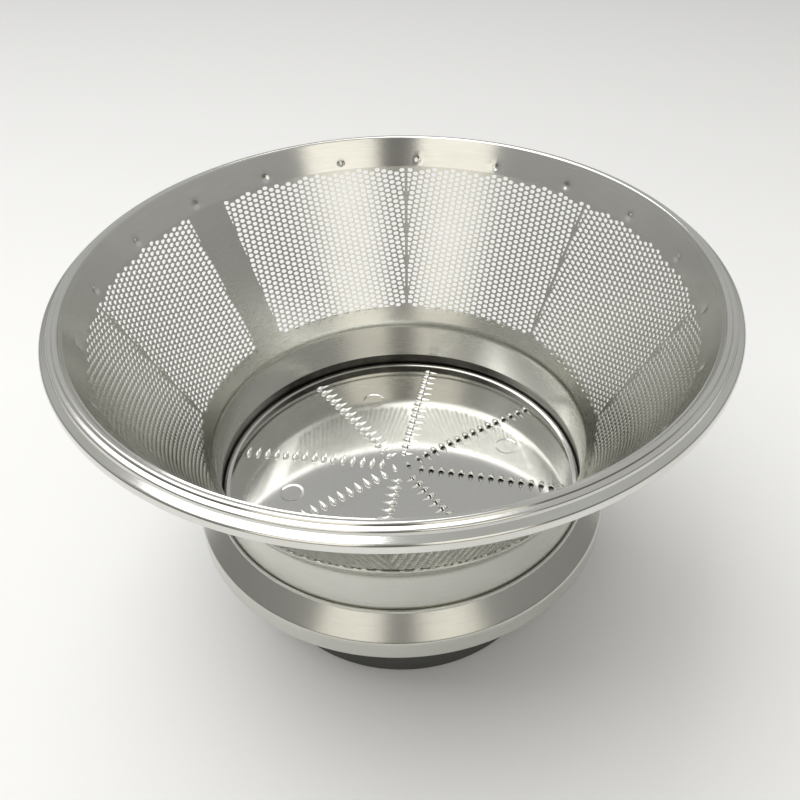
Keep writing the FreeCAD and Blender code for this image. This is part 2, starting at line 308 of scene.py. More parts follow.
def cone_profile(run):
    """Radius, height and outward direction of the inner skin, by its run from the cone's apex."""
    if run >= KNEE_CORNER + KNEE_REACH:
        return run * CONE_SIN, CONE_APEX + run * CONE_COS, CONE_COS, -CONE_SIN
    if run <= KNEE_CORNER - KNEE_REACH:
        return COLLAR_RADIUS, KNEE_HEIGHT - KNEE_CORNER + run, 1.0, 0.0
    share = (run - KNEE_CORNER + KNEE_REACH) / (2 * KNEE_REACH)
    tilt = CONE_TILT * share
    centre = COLLAR_RADIUS + KNEE_BEND
    height = KNEE_HEIGHT - KNEE_REACH + KNEE_BEND * math.sin(tilt)
    return centre - KNEE_BEND * math.cos(tilt), height, math.cos(tilt), -math.sin(tilt)


def weld_dent(angle, height):
    """How far the nearest rim weld presses the sheet outwards."""
    pitch = 360 / RIM_WELDS
    off = (angle - RIM_WELD_ANGLE + pitch / 2) % pitch - pitch / 2
    along = math.radians(off) * CONE_TOP_RADIUS
    away = math.hypot(along, (height - RIM_WELD_HEIGHT) / CONE_COS)
    return RIM_WELD_DEPTH * math.exp(-(away / RIM_WELD_SPREAD) ** 2)


def on_cone(point, middle, depth):
    """Place and outward direction of a plan point, so far into the sheet from the inner skin."""
    run = math.hypot(*point)
    angle = middle - math.degrees(math.atan2(point[0], point[1])) / CONE_SIN
    radius, height, out, up = cone_profile(run)
    dent = weld_dent(angle, height)
    radius += out * (depth + dent)
    height += up * (depth + dent)
    turn = math.radians(angle)
    place = (radius * math.cos(turn), radius * math.sin(turn), height)
    return place, (out * math.cos(turn), out * math.sin(turn), up), dent > DENT_SEEN


def plan_point(middle, angle, run):
    """Flat plan point of an angle and a run, seen from the panel's middle line."""
    lean = math.radians(middle - angle) * CONE_SIN
    return (run * math.sin(lean), run * math.cos(lean))


def lattice(first, last):
    """Places of the punch: columns along the panel's middle line, every other one half a pitch up."""
    return [(column * HOLE_COLUMN, HOLES_LOWEST + (row + column % 2 / 2) * HOLE_PITCH)
            for column in range(-HOLE_COLUMNS, HOLE_COLUMNS + 1) for row in range(first, last)]


def hole_outline():
    """Rounded outline of one hole, round its centre."""
    outline = []
    for k in range(HOLE_SIDES):
        across, up = math.cos(FULL_TURN * k / HOLE_SIDES), math.sin(FULL_TURN * k / HOLE_SIDES)
        reach = (abs(across) ** HOLE_SQUARENESS + abs(up) ** HOLE_SQUARENESS) ** (-1 / HOLE_SQUARENESS)
        outline.append((HOLE_WIDTH / 2 * across * reach, HOLE_HEIGHT / 2 * up * reach))
    return outline


def clip(loop, inward):
    """Part of a hole that keeps its distance from a line through the plan's origin."""
    kept = []
    depths = [inward[0] * x + inward[1] * y - LINE_MARGIN for x, y in loop]
    for k, (x, y) in enumerate(loop):
        after = (k + 1) % len(loop)
        if depths[k] >= 0:
            kept.append((x, y))
        if (depths[k] >= 0) != (depths[after] >= 0):
            share = depths[k] / (depths[k] - depths[after])
            kept.append((x + (loop[after][0] - x) * share, y + (loop[after][1] - y) * share))
    return kept


def loop_area(loop):
    """Area inside a loop."""
    return abs(sum(a[0] * b[1] - b[0] * a[1] for a, b in zip(loop, loop[1:] + loop[:1]))) / 2


def panel_holes(middle, left, right):
    """One panel's holes, cut off by the plain strips at both sides."""
    shape = hole_outline()
    least = HOLE_SMALLEST_SHARE * loop_area(shape)
    lean_left, lean_right = lean_limit(left, middle), lean_limit(middle, right)
    holes = []
    for x, y in lattice(0, HOLE_ROWS):
        if math.hypot(x, y) > HOLES_HIGHEST:
            continue
        hole = [(x + dx, y + dy) for dx, dy in shape]
        hole = clip(hole, (math.cos(lean_left), math.sin(lean_left)))
        hole = clip(hole, (-math.cos(lean_right), math.sin(lean_right)))
        if len(hole) > 2 and loop_area(hole) > least:
            holes.append(hole)
    return holes


def lean_limit(high, low):
    """Plan angle between two angles round the cone."""
    return math.radians(high - low) * CONE_SIN


def knee_runs():
    """Runs of the rows of points that follow the knee's bend and the collar below it."""
    bend = [KNEE_CORNER + KNEE_REACH * (k / 4 - 1) for k in range(9)]
    guards = [bend[0] - BEND_GUARD, bend[-1] + BEND_GUARD]
    collar = [CONE_FOOT_END + (bend[0] - CONE_FOOT_END) * k / 4 for k in range(1, 4)]
    return sorted(bend + guards + collar)


def make_panel(number, material, band_material):
    """One eighth of the perforated sheet, from the collar's foot to the rim's polished band."""
    left = PANEL_LINE + PANEL_ANGLE * (number + 1)
    right = PANEL_LINE + PANEL_ANGLE * number
    middle = (left + right) / 2
    hole_left, hole_right = left, right
    if right < SEAM_END < left:
        hole_right = SEAM_END
    angles = [left - (left - right) * k / PANEL_STEPS for k in range(PANEL_STEPS + 1)]
    runs = knee_runs()
    plain_run = CONE_TOP_END - runs[-1]
    sides = [*runs, *[runs[-1] + plain_run * k / SIDE_STEPS for k in range(1, SIDE_STEPS)]]
    outer = [plan_point(middle, a, CONE_TOP_END) for a in angles]
    outer += [plan_point(middle, right, run) for run in sides[::-1]]
    outer += [plan_point(middle, a, CONE_FOOT_END) for a in angles[::-1]]
    outer += [plan_point(middle, left, run) for run in sides]
    holes = panel_holes(middle, hole_left, hole_right)
    lines = [[plan_point(middle, a, run) for a in angles[1:-1]] for run in [*runs, BAND_FOOT]]
    points = plain_points(middle, left, right, runs[-1], holes)
    coords, plan, loops = fill_plan(outer, holes, lines, points)
    piece = skin_panel(number, middle, coords, plan, loops, material)
    piece.data.materials.append(band_material)
    for face in piece.data.polygons:
        plan_runs = [math.hypot(*coords[v % len(coords)]) for v in face.vertices]
        face.material_index = int(sum(plan_runs) > BAND_FOOT * len(plan_runs))
    return piece


def plain_points(middle, left, right, lowest, holes):
    """Points that keep the unpierced parts of a panel evenly divided, denser round its welds."""
    pierced = np.array([p for hole in holes for p in hole])
    border = 0.5
    hole_gap = HOLE_WIDTH / 2 + 0.2
    weld_sides = 12
    ring_sizes = (0.4, 0.8, 1.2, 1.6)
    points = lattice(*PLAIN_ROWS)
    weld_run = (RIM_WELD_HEIGHT - CONE_APEX) / CONE_COS
    for k in range(RIM_WELDS):
        angle = RIM_WELD_ANGLE + 360 / RIM_WELDS * k
        angle += 360 * math.floor((left - angle) / 360)
        x, y = plan_point(middle, angle, weld_run)
        turns = [FULL_TURN * n / weld_sides for n in range(weld_sides)]
        points += [(x + d * math.cos(t), y + d * math.sin(t)) for d in ring_sizes for t in turns]
    kept = []
    for x, y in points:
        run = math.hypot(x, y)
        lean = math.atan2(x, y)
        clear_sides = abs(lean) * run < run * lean_limit(left, middle) - border
        clear_ends = lowest + border < run < CONE_TOP_END - border
        clear_holes = np.hypot(pierced[:, 0] - x, pierced[:, 1] - y).min() > hole_gap
        if clear_sides and clear_ends and clear_holes:
            kept.append((x, y))
    return kept


def skin_panel(number, middle, coords, plan, loops, material):
    """Wraps a flat plan onto both faces of the sheet and closes its edges."""
    inner = [on_cone(p, middle, 0.0) for p in coords]
    outer = [on_cone(p, middle, MESH_SHEET) for p in coords]
    count = len(coords)
    verts = [place for place, _, _ in inner + outer]
    faces = list(plan) + [tuple(v + count for v in face[::-1]) for face in plan]
    for loop in loops:
        faces += walls(loop, count)
    piece = new_piece(f"mesh_panel_{number + 1}", verts, faces, material)
    steady_normals(piece, inner, count, 2 * len(plan))
    return piece


def steady_normals(piece, inner, count, skin_faces):
    """Gives both skins the true directions of the cone, apart from the dents of the welds."""
    mesh = piece.data
    normals = []
    for face in mesh.polygons:
        for vertex in face.vertices:
            _, way, dented = inner[vertex % count]
            if face.index >= skin_faces or dented:
                normals.append((0.0, 0.0, 0.0))
            else:
                hand = -1.0 if vertex < count else 1.0
                normals.append((way[0] * hand, way[1] * hand, way[2] * hand))
    mesh.normals_split_custom_set(normals)


def make_seam(material):
    """Outer lap of the sheet's closing seam, with its row of spot welds."""
    rows, columns = 60, 24
    lap_start, lap_end = SEAM_START + SEAM_INSET, SEAM_END - SEAM_INSET
    verts = []
    for depth in (MESH_SHEET, MESH_SHEET + SEAM_SHEET):
        for i in range(rows + 1):
            run = SEAM_LOWEST + (SEAM_HIGHEST - SEAM_LOWEST) * i / rows
            for k in range(columns + 1):
                angle = lap_start + (lap_end - lap_start) * k / columns
                radius, height, out, up = cone_profile(run)
                lift = depth - (seam_dent(run, k / columns) if depth > MESH_SHEET else 0.0)
                turn = math.radians(angle)
                reach = radius + out * lift
                verts.append((reach * math.cos(turn), reach * math.sin(turn), height + up * lift))
    wide = columns + 1
    layer = wide * (rows + 1)
    faces = []
    for i in range(rows):
        for k in range(columns):
            a = i * wide + k
            faces.append((a, a + 1, a + 1 + wide, a + wide))
            faces.append((a + layer, a + wide + layer, a + 1 + wide + layer, a + 1 + layer))
    border = [k for k in range(wide)] + [wide * (i + 1) - 1 for i in range(1, rows + 1)]
    border += [layer - 1 - k for k in range(1, wide)] + [wide * i for i in range(rows - 1, 0, -1)]
    faces += walls(border, layer)
    return new_piece("mesh_seam", verts, faces, material)


def seam_dent(run, share):
    """Depth of the spot welds along the middle of the lap."""
    pitch = SEAM_WELD_PITCH
    along = (run - SEAM_WELD_FIRST + pitch / 2) % pitch - pitch / 2
    across = (share - 0.5) * SEAM_WIDTH
    return SEAM_WELD_DEPTH * math.exp(-((along ** 2 + across ** 2) / SEAM_WELD_SPREAD))


# Turned sheet pieces

def make_rim(material):
    """Rim ring: band behind the sheet, narrow crest, ledge, broad roll and turned-down edge."""
    gap = (MESH_SHEET + RIM_SHEET / 2 + SHEET_GAP) / CONE_COS
    band_foot, crest = 100.3, 107.1
    edge_radius = 87.0
    tight = 0.34

    def band(height):
        return CONE_TOP_RADIUS + gap + (height - CONE_TOP_HEIGHT) * CONE_SLOPE

    corners = [
        (band(band_foot), band_foot, 0),
        (band(crest), crest, 0.5),
        (83.45, crest, tight),
        (83.75, 106.55, tight),
        (84.85, 106.45, tight),
        (85.15, 105.55, tight),
        (edge_radius, 104.65, 0.7),
        (edge_radius, 102.9, 0),
    ]
    verts, faces = turn_round(sheet_outline(corners, RIM_SHEET), RIM_SEGMENTS)
    piece = new_piece("rim", verts, faces, material, FOLD_CREASE)
    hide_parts("rim_ring")


def make_pan(material, channel_material):
    """Drawn pan: flared lip, straight wall, deep channel with painted shade and raised platform."""
    lip_gap = (MESH_SHEET + SHEET / 2 + SHEET_GAP) / CONE_COS
    lip_end = 60.5
    lip_radius = CONE_TOP_RADIUS + lip_gap + (lip_end - CONE_TOP_HEIGHT) * CONE_SLOPE
    knee = lip_end - (lip_radius - PAN_WALL) / CONE_SLOPE
    platform, channel_floor = 38.85, 33.55
    platform_radius = 44.65
    steepest = -0.3
    corners = [
        (0.0, platform, 0),
        (platform_radius, platform, 1.1),
        (platform_radius, channel_floor, 1.1),
        (PAN_WALL, channel_floor, 1.5),
        (PAN_WALL, knee, 5.0),
        (lip_radius, lip_end, 0),
    ]
    verts, faces = turn_round(sheet_outline(corners, SHEET, from_axis=True), PAN_SEGMENTS, closed=False)
    piece = new_piece("pan", verts, faces, material, FOLD_CREASE)
    piece.data.materials.append(channel_material)
    # Painted shade: the channel's low faces take the darkened steel
    for face in piece.data.polygons:
        middle = face.center / MM
        inside = math.hypot(middle.x, middle.y) < PAN_WALL
        if inside and middle.z < CHANNEL_SHADE_TOP and face.normal.z > steepest:
            face.material_index = 1
    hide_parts("basket_pan")


def make_flange(material):
    """Base flange: polished sloped shoulder and straight outer edge."""
    thick = 0.8
    bore = 54.25 + thick / 2
    edge = 60.45 - thick / 2
    corners = [
        (bore, 42.55, 0),
        (bore, 41.9, 0.5),
        (edge, 36.1, 1.0),
        (edge, 30.2 + thick / 2, 0),
    ]
    verts, faces = turn_round(sheet_outline(corners, thick), PAN_SEGMENTS)
    piece = new_piece("flange", verts, faces, material, FOLD_CREASE)
    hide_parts("base_flange")


# Grater disc

def tooth_frame(radius, angle):
    """Function from a tooth's own directions, clockwise, outwards and up, to the part's frame."""
    turn = math.radians(angle)
    outward = (math.cos(turn), math.sin(turn))
    clockwise = (math.sin(turn), -math.cos(turn))

    def place(u, v, z):
        return (outward[0] * (radius + v) + clockwise[0] * u,
                outward[1] * (radius + v) + clockwise[1] * u, z)

    return place


def tooth_places():
    """Radius, angle and scale of every tooth: eight straight rows and two in the middle."""
    pitch = (TOOTH_LAST - TOOTH_FIRST) / (TEETH_PER_ROW - 1)
    places = []
    for row in range(TOOTH_ROWS):
        angle = TOOTH_ROW_ANGLE + 360 / TOOTH_ROWS * row
        for k in range(TEETH_PER_ROW):
            places.append((TOOTH_FIRST + pitch * k, angle, TOOTH_FIRST_SCALE if k == 0 else 1.0))
    places += [(CENTRE_TOOTH_RADIUS, angle, CENTRE_TOOTH_SCALE) for angle in CENTRE_TOOTH_ANGLES]
    return places


def tooth_outline(scale):
    """Flat outline of a tooth: round head and pointed tail; the mouth's ends come first and middle."""
    steps = [math.pi * j / TOOTH_COLUMNS for j in range(1, TOOTH_COLUMNS)]
    half = TOOTH_HALF_WIDTH * scale
    head = [(-TOOTH_HEAD * scale * math.sin(a), half * math.cos(a)) for a in steps]
    tail = [(TOOTH_TAIL * scale * (1 - abs(math.cos(a))) ** TOOTH_TAIL_POWER, half * math.cos(a))
            for a in steps]
    return [(0.0, half), *head, (0.0, -half), *tail[::-1]]


def tooth_patch(rim, ends, lift, place, level, verts):
    """Grid of points from a tooth's flat outline to its mouth; returns faces and the mouth's edge."""
    columns = []
    for number, (u, v, vertex) in rim:
        arch = math.sin(math.pi * number / TOOTH_COLUMNS)
        column = [vertex]
        for step in range(1, TOOTH_STEPS + 1):
            share = step / TOOTH_STEPS
            rise = math.sqrt(1 - (1 - share) ** 2)
            column.append(len(verts))
            verts.append(place(u * (1 - share), v, level + lift * arch * rise))
        columns.append(column)
    faces = []
    for a, b in zip(columns, columns[1:]):
        faces += [(a[k], a[k + 1], b[k + 1], b[k]) for k in range(TOOTH_STEPS)]
    for end, column in zip(ends, (columns[0], columns[-1])):
        faces += [(end, column[k + 1], column[k]) for k in range(TOOTH_STEPS)]
    return faces, [ends[0], *[c[-1] for c in columns], ends[1]]


def raise_tooth(loop, outline, place, level, lift, dip, verts):
    """Hood and sunken tail of one tooth on one skin; returns faces and the loop round the mouth."""
    half = TOOTH_COLUMNS
    ends = (loop[0], loop[half])
    head = [(j, (*outline[j], loop[j])) for j in range(1, half)]
    tail = [(j, (*outline[-j], loop[-j])) for j in range(1, half)]
    hood, upper = tooth_patch(head, ends, lift, place, level, verts)
    ramp, lower = tooth_patch(tail, ends, -dip, place, level, verts)
    return hood + ramp, upper + lower[1:-1][::-1]


def smooth_step(share):
    """Soft step from 0 to 1."""
    share = min(1.0, max(0.0, share))
    return share * share * (3 - 2 * share)


def disc_height(x, y):
    """Rise of the disc above its flat plan: a low crown, a turned-up border and four round weld marks."""
    reach = math.hypot(x, y)
    height = DISC_BORDER_RISE * smooth_step((reach - DISC_BORDER) / DISC_BORDER_WIDTH)
    height += DISC_CROWN * max(0.0, 1 - (reach / DISC_BORDER) ** 2)
    for k in range(DISC_WELDS):
        turn = math.radians(DISC_WELD_ANGLE + 360 / DISC_WELDS * k)
        away = math.hypot(x - DISC_WELD_PLACE * math.cos(turn), y - DISC_WELD_PLACE * math.sin(turn))
        height -= DISC_WELD_DEPTH * smooth_step((DISC_WELD_RADIUS - away) / DISC_WELD_EDGE)
    return height


def disc_normal(x, y):
    """Upward direction of the disc's upper skin."""
    step = 0.02
    along_x = (disc_height(x + step, y) - disc_height(x - step, y)) / (2 * step)
    along_y = (disc_height(x, y + step) - disc_height(x, y - step)) / (2 * step)
    return Vector((-along_x, -along_y, 1.0)).normalized()


def disc_rings():
    """Rings of points that carry the crown and the turned-up border."""
    points = []
    crown = (3.5, *range(8, 50, 3))
    border = [DISC_BORDER + offset for offset in (-0.6, 0.0, 0.2, 0.4, 0.6, 0.8, 1.0, 1.2)]
    for reach in (*crown, *border):
        count = max(12, round(reach * 4)) if reach < border[0] else DISC_SEGMENTS
        points += [(reach * math.cos(FULL_TURN * n / count), reach * math.sin(FULL_TURN * n / count))
                   for n in range(count)]
    return points


def clear_of_teeth(point, teeth):
    """Whether a plan point lies outside the outlines of all teeth."""
    for radius, angle, scale in teeth:
        turn = math.radians(angle)
        v = point[0] * math.cos(turn) + point[1] * math.sin(turn) - radius
        u = point[0] * math.sin(turn) - point[1] * math.cos(turn)
        beside = abs(v) < TOOTH_HALF_WIDTH * scale + TOOTH_CLEARANCE
        if beside and -TOOTH_HEAD * scale - TOOTH_CLEARANCE < u < TOOTH_TAIL * scale + TOOTH_CLEARANCE:
            return False
    return True


def weld_rings():
    """Rings of points that carry the round weld marks."""
    insets = (-0.15, 0.0, 0.14, 0.28, 0.42, 0.56, 0.7, 0.85, 2.2)
    sides = 48
    turns = [FULL_TURN * n / sides for n in range(sides)]
    points = []
    for k in range(DISC_WELDS):
        turn = math.radians(DISC_WELD_ANGLE + 360 / DISC_WELDS * k)
        x, y = DISC_WELD_PLACE * math.cos(turn), DISC_WELD_PLACE * math.sin(turn)
        for inset in insets:
            reach = DISC_WELD_RADIUS - inset
            points += [(x + reach * math.cos(t), y + reach * math.sin(t)) for t in turns]
    return points


def punch_tooth(scale, place, outline, loop, count, verts):
    """Faces of one tooth on both skins, and of the cut edge round its mouth."""
    foot_loop = [v + count for v in loop]
    top, mouth = raise_tooth(loop, outline, place, DISC_TOP, TOOTH_HEIGHT * scale, TOOTH_DIP, verts)
    hollow = (TOOTH_HEIGHT + TOOTH_SKIN) * scale
    foot, under = raise_tooth(foot_loop, outline, place, DISC_FOOT, hollow, TOOTH_DIP, verts)
    return top + foot + ring_faces(mouth, under)


def make_disc(material, tooth_material):
    """Crowned polished disc with eight rows of punched, hooded teeth and four round weld marks."""
    arcs = [math.radians(a) for a in (0, 30, 60, 90)]
    rings = [DISC_RADIUS - DISC_EDGE_ROUND * (1 - math.sin(a)) for a in arcs]
    drops = [DISC_EDGE_ROUND * (1 - math.cos(a)) for a in arcs]
    turns = [FULL_TURN * k / DISC_SEGMENTS for k in range(DISC_SEGMENTS)]
    outer = [(rings[0] * math.cos(t), rings[0] * math.sin(t)) for t in turns]
    teeth = tooth_places()
    outlines = [tooth_outline(scale) for _, _, scale in teeth]
    frames = [tooth_frame(radius, angle) for radius, angle, _ in teeth]
    holes = [[place(u, v, 0)[:2] for u, v in outline] for place, outline in zip(frames, outlines)]
    points = [p for p in weld_rings() + disc_rings() if clear_of_teeth(p, teeth)]
    coords, plan, loops = fill_plan(outer, holes, (), points)
    count = len(coords)
    verts = [(x, y, DISC_TOP) for x, y in coords]
    verts += [(x, y, DISC_FOOT) for x, y in coords]
    faces = list(plan) + [tuple(v + count for v in face[::-1]) for face in plan]
    flat_faces = len(faces)
    for tooth, place, outline, loop in zip(teeth, frames, outlines, loops[1:]):
        faces += punch_tooth(tooth[2], place, outline, loop, count, verts)
    tooth_end = len(faces)
    faces += disc_edge(verts, loops[0], count, rings, drops)
    verts = [(x, y, z + disc_height(x, y)) for x, y, z in verts]
    piece = new_piece("grater", verts, faces, material, EDGE_CREASE)
    piece.data.materials.append(tooth_material)
    for face in piece.data.polygons[flat_faces:tooth_end]:
        face.material_index = 1
    steady_disc(piece, [disc_normal(x, y) for x, y in coords], flat_faces)
    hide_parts("grater_disc")


def steady_disc(piece, ways, flat_faces):
    """Gives both skins of the disc their true directions; teeth and edge keep their own."""
    count = len(ways)
    normals = []
    for face in piece.data.polygons:
        for vertex in face.vertices:
            if face.index >= flat_faces:
                normals.append((0.0, 0.0, 0.0))
            else:
                normals.append(tuple(ways[vertex % count] * (1.0 if vertex < count else -1.0)))
    piece.data.normals_split_custom_set(normals)


def disc_edge(verts, loop, count, rings, drops):
    """Rounded upper edge and straight side of the disc, down to its lower skin."""
    faces = []
    ring = loop
    for reach, drop in zip(rings[1:], drops[1:]):
        grow = reach / rings[0]
        base = len(verts)
        verts += [(verts[v][0] * grow, verts[v][1] * grow, DISC_TOP - drop) for v in loop]
        after = list(range(base, base + len(loop)))
        faces += ring_faces(ring, after)
        ring = after
    return faces + ring_faces(ring, [v + count for v in loop])


# Drive hub

def socket_outline():
    """Keyed outline of the drive socket."""
    half = KEY_WIDTH / 2
    mouth = math.asin(half / SOCKET_RADIUS)
    outline = []
    for key in range(KEYS):
        middle = math.pi / 2 + FULL_TURN * key / KEYS
        spin = Matrix.Rotation(middle, 2)
        depth = math.sqrt(KEY_REACH ** 2 - half ** 2)
        for x, y in ((SOCKET_RADIUS * math.cos(mouth), -half), (depth, -half), (KEY_REACH, 0.0),
                     (depth, half), (SOCKET_RADIUS * math.cos(mouth), half)):
            outline.append(tuple(spin @ Vector((x, y))))
        span = FULL_TURN / KEYS - 2 * mouth
        outline += [(SOCKET_RADIUS * math.cos(a), SOCKET_RADIUS * math.sin(a))
                    for a in (middle + mouth + span * n / 16 for n in range(1, 16))]
    return outline


def key_points():
    """Plan points in the corners between the socket's keys and its round wall."""
    outside = 0.6
    beside = KEY_WIDTH * 0.7
    points = []
    for key in range(KEYS):
        spin = Matrix.Rotation(math.pi / 2 + FULL_TURN * key / KEYS, 2)
        points += [tuple(spin @ Vector((SOCKET_RADIUS + outside, side * beside))) for side in (-1, 1)]
    return points


def rounded(corners):
    """Outline points of a solid section whose corners are (radius, height, round)."""
    return [tuple(place) for place, _ in bend_line(corners, 15.0, 6.0)]


def make_hub(material):
    """Moulded foot: thick outer wall, deck and a boss with the keyed socket."""
    segments = HUB_SEGMENTS
    foot_radius = HUB_RADIUS - 0.35
    boss_inset = 2.0
    corners = [
        (0.0, HUB_TOP, 0),
        (HUB_RADIUS, HUB_TOP, 0.6),
        (HUB_RADIUS, 9.0, 0.3),
        (foot_radius, 8.6, 0.3),
        (foot_radius, 0.0, 0.9),
        (HUB_INNER, 0.0, 0.7),
        (HUB_INNER, HUB_DECK, 2.0),
        (BOSS_RADIUS, HUB_DECK, 2.0),
        (BOSS_RADIUS, BOSS_FOOT, 0.8),
        (BOSS_RADIUS - boss_inset, BOSS_FOOT, 0),
    ]
    outline = rounded(corners)
    turned, faces = turn_round([*outline, (0.0, BOSS_FOOT)], segments, closed=False)
    last = (len(outline) - 2) * segments
    faces = [f for f in faces if len(turned) - 1 not in f]
    verts = [tuple(v) for v in turned[:-1]]
    boss_edge = list(range(last, last + segments))
    ring = [verts[v][:2] for v in boss_edge]
    coords, plan, loops = fill_plan(ring, [socket_outline()], (), key_points())
    base = len(verts)
    verts += [(x, y, BOSS_FOOT) for x, y in coords[segments:]]
    verts += [(x, y, SOCKET_END) for x, y in coords[segments:]]
    number = [*boss_edge, *range(base, base + len(coords) - segments)]
    faces += [tuple(number[v] for v in face) for face in plan]
    mouth = [number[v] for v in loops[1]]
    deep = len(coords) - segments
    verts = verts[:base + deep + len(mouth)]
    faces += walls(mouth, deep)
    faces.append(tuple(v + deep for v in mouth))
    piece = new_piece("hub", verts, faces, material, EDGE_CREASE)
    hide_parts("drive_hub")


# Materials

def new_material(name):
    """Material with its node tree, shader and object coordinates."""
    material = bpy.data.materials.new(name)
    material.use_nodes = True
    tree = material.node_tree
    shader = tree.nodes["Principled BSDF"]
    coords = tree.nodes.new("ShaderNodeTexCoord")
    return material, tree, shader, coords.outputs["Object"]


def math_node(tree, operation, first, second=None):
    """One math node; numbers are set and sockets are linked."""
    node = tree.nodes.new("ShaderNodeMath")
    node.operation = operation
    for slot, value in zip(node.inputs, (first, second)):
        if value is None:
            continue
        if isinstance(value, (int, float)):
            slot.default_value = value
        else:
            tree.links.new(value, slot)
    return node.outputs[0]


def noise(tree, vector, scale, detail, rough):
    """Noise texture's grey output."""
    node = tree.nodes.new("ShaderNodeTexNoise")
    node.inputs["Scale"].default_value = scale
    node.inputs["Detail"].default_value = detail
    node.inputs["Roughness"].default_value = rough
    tree.links.new(vector, node.inputs["Vector"])
    return node.outputs["Fac"]


def spread(tree, value, low, high, from_low=0.3, from_high=0.7):
    """Maps a grey value onto a range."""
    node = tree.nodes.new("ShaderNodeMapRange")
    node.inputs["From Min"].default_value = from_low
    node.inputs["From Max"].default_value = from_high
    node.inputs["To Min"].default_value = low
    node.inputs["To Max"].default_value = high
    tree.links.new(value, node.inputs["Value"])
    return node.outputs["Result"]


def ring_vector(tree, place):
    """Coordinates stretched round the axis: radius and height fine, angle coarse, in millimetres."""
    split = tree.nodes.new("ShaderNodeSeparateXYZ")
    tree.links.new(place, split.inputs[0])
    x, y, z = split.outputs
    squares = math_node(tree, "ADD", math_node(tree, "MULTIPLY", x, x), math_node(tree, "MULTIPLY", y, y))
    radius = math_node(tree, "MULTIPLY", math_node(tree, "SQRT", squares), 1000.0)
    height = math_node(tree, "MULTIPLY", z, 1000.0)
    angle = math_node(tree, "MULTIPLY", math_node(tree, "ARCTAN2", y, x), 1.2)
    join = tree.nodes.new("ShaderNodeCombineXYZ")
    for slot, value in zip(join.inputs, (radius, height, angle)):
        tree.links.new(value, slot)
    return join.outputs[0]


def blend_colour(tree, share, first, second):
    """Mix of two colours by a grey value; tuples are set and sockets are linked."""
    node = tree.nodes.new("ShaderNodeMix")
    node.data_type = "RGBA"
    tree.links.new(share, node.inputs["Factor"])
    for slot, value in zip(node.inputs[6:8], (first, second)):
        if isinstance(value, tuple):
            slot.default_value = (*value, 1)
        else:
            tree.links.new(value, slot)
    return node.outputs[2]


def bump(tree, height, strength, distance):
    """Bump node's normal."""
    node = tree.nodes.new("ShaderNodeBump")
    node.inputs["Strength"].default_value = strength
    node.inputs["Distance"].default_value = distance
    tree.links.new(height, node.inputs["Height"])
    return node.outputs["Normal"]


def channel_shade_steel(name):
    """Dull steel of the channel round the disc, darkened as painted shade, with a painted shadow that is
    darkest at the back.
    """
    material, tree, shader, place = new_material(name)
    split = tree.nodes.new("ShaderNodeSeparateXYZ")
    tree.links.new(place, split.inputs[0])
    marks = noise(tree, place, scale=90.0, detail=4.0, rough=0.6)
    aside = math_node(tree, "MULTIPLY", split.outputs[0], 0.12)
    behind = math_node(tree, "SUBTRACT", split.outputs[1], aside)
    back = spread(tree, behind, 0.0, 1.0, from_low=0.03, from_high=0.043)
    share = math_node(tree, "MULTIPLY", back, spread(tree, marks, 0.8, 1.0))
    # Painted shade: darkened steel at the channel's sides and a near-black painted shadow at its back
    painted_side_shade, painted_back_shadow = (0.42, 0.415, 0.385), (0.04, 0.038, 0.032)
    tree.links.new(blend_colour(tree, share, painted_side_shade, painted_back_shadow), shader.inputs["Base Color"])
    tree.links.new(spread(tree, marks, 0.3, 0.45), shader.inputs["Roughness"])
    shader.inputs["Metallic"].default_value = 1.0
    return material


def steel(name, light, dark, smooth, rough, grain, wave):
    """Turned and polished stainless steel: ring-wise grain, soft smudges and a faint waviness."""
    material, tree, shader, place = new_material(name)
    rings = ring_vector(tree, place)
    lines = noise(tree, rings, scale=6.0, detail=4.0, rough=0.6)
    smudge = noise(tree, place, scale=45.0, detail=4.0, rough=0.6)
    swell = noise(tree, place, scale=28.0, detail=1.0, rough=0.4)
    share = math_node(tree, "ADD", math_node(tree, "MULTIPLY", lines, 0.5),
                      math_node(tree, "MULTIPLY", smudge, 0.5))
    colour = blend_colour(tree, spread(tree, share, 0.0, 1.0), light, dark)
    tree.links.new(colour, shader.inputs["Base Color"])
    tree.links.new(spread(tree, share, smooth, rough), shader.inputs["Roughness"])
    height = math_node(tree, "ADD", math_node(tree, "MULTIPLY", lines, grain),
                       math_node(tree, "MULTIPLY", swell, wave))
    tree.links.new(bump(tree, height, strength=1.0, distance=0.001), shader.inputs["Normal"])
    shader.inputs["Metallic"].default_value = 1.0
    return material


def plastic(name, base, worn):
    """Dark moulded plastic with a fine grain and dull handling marks."""
    material, tree, shader, place = new_material(name)
    marks = noise(tree, place, scale=60.0, detail=5.0, rough=0.6)
    grain = noise(tree, place, scale=2500.0, detail=2.0, rough=0.5)
    colour = blend_colour(tree, spread(tree, marks, 0.0, 1.0), base, worn)
    tree.links.new(colour, shader.inputs["Base Color"])
    tree.links.new(spread(tree, marks, 0.42, 0.6), shader.inputs["Roughness"])
    tree.links.new(bump(tree, grain, strength=0.25, distance=0.0002), shader.inputs["Normal"])
    return material


# Stage

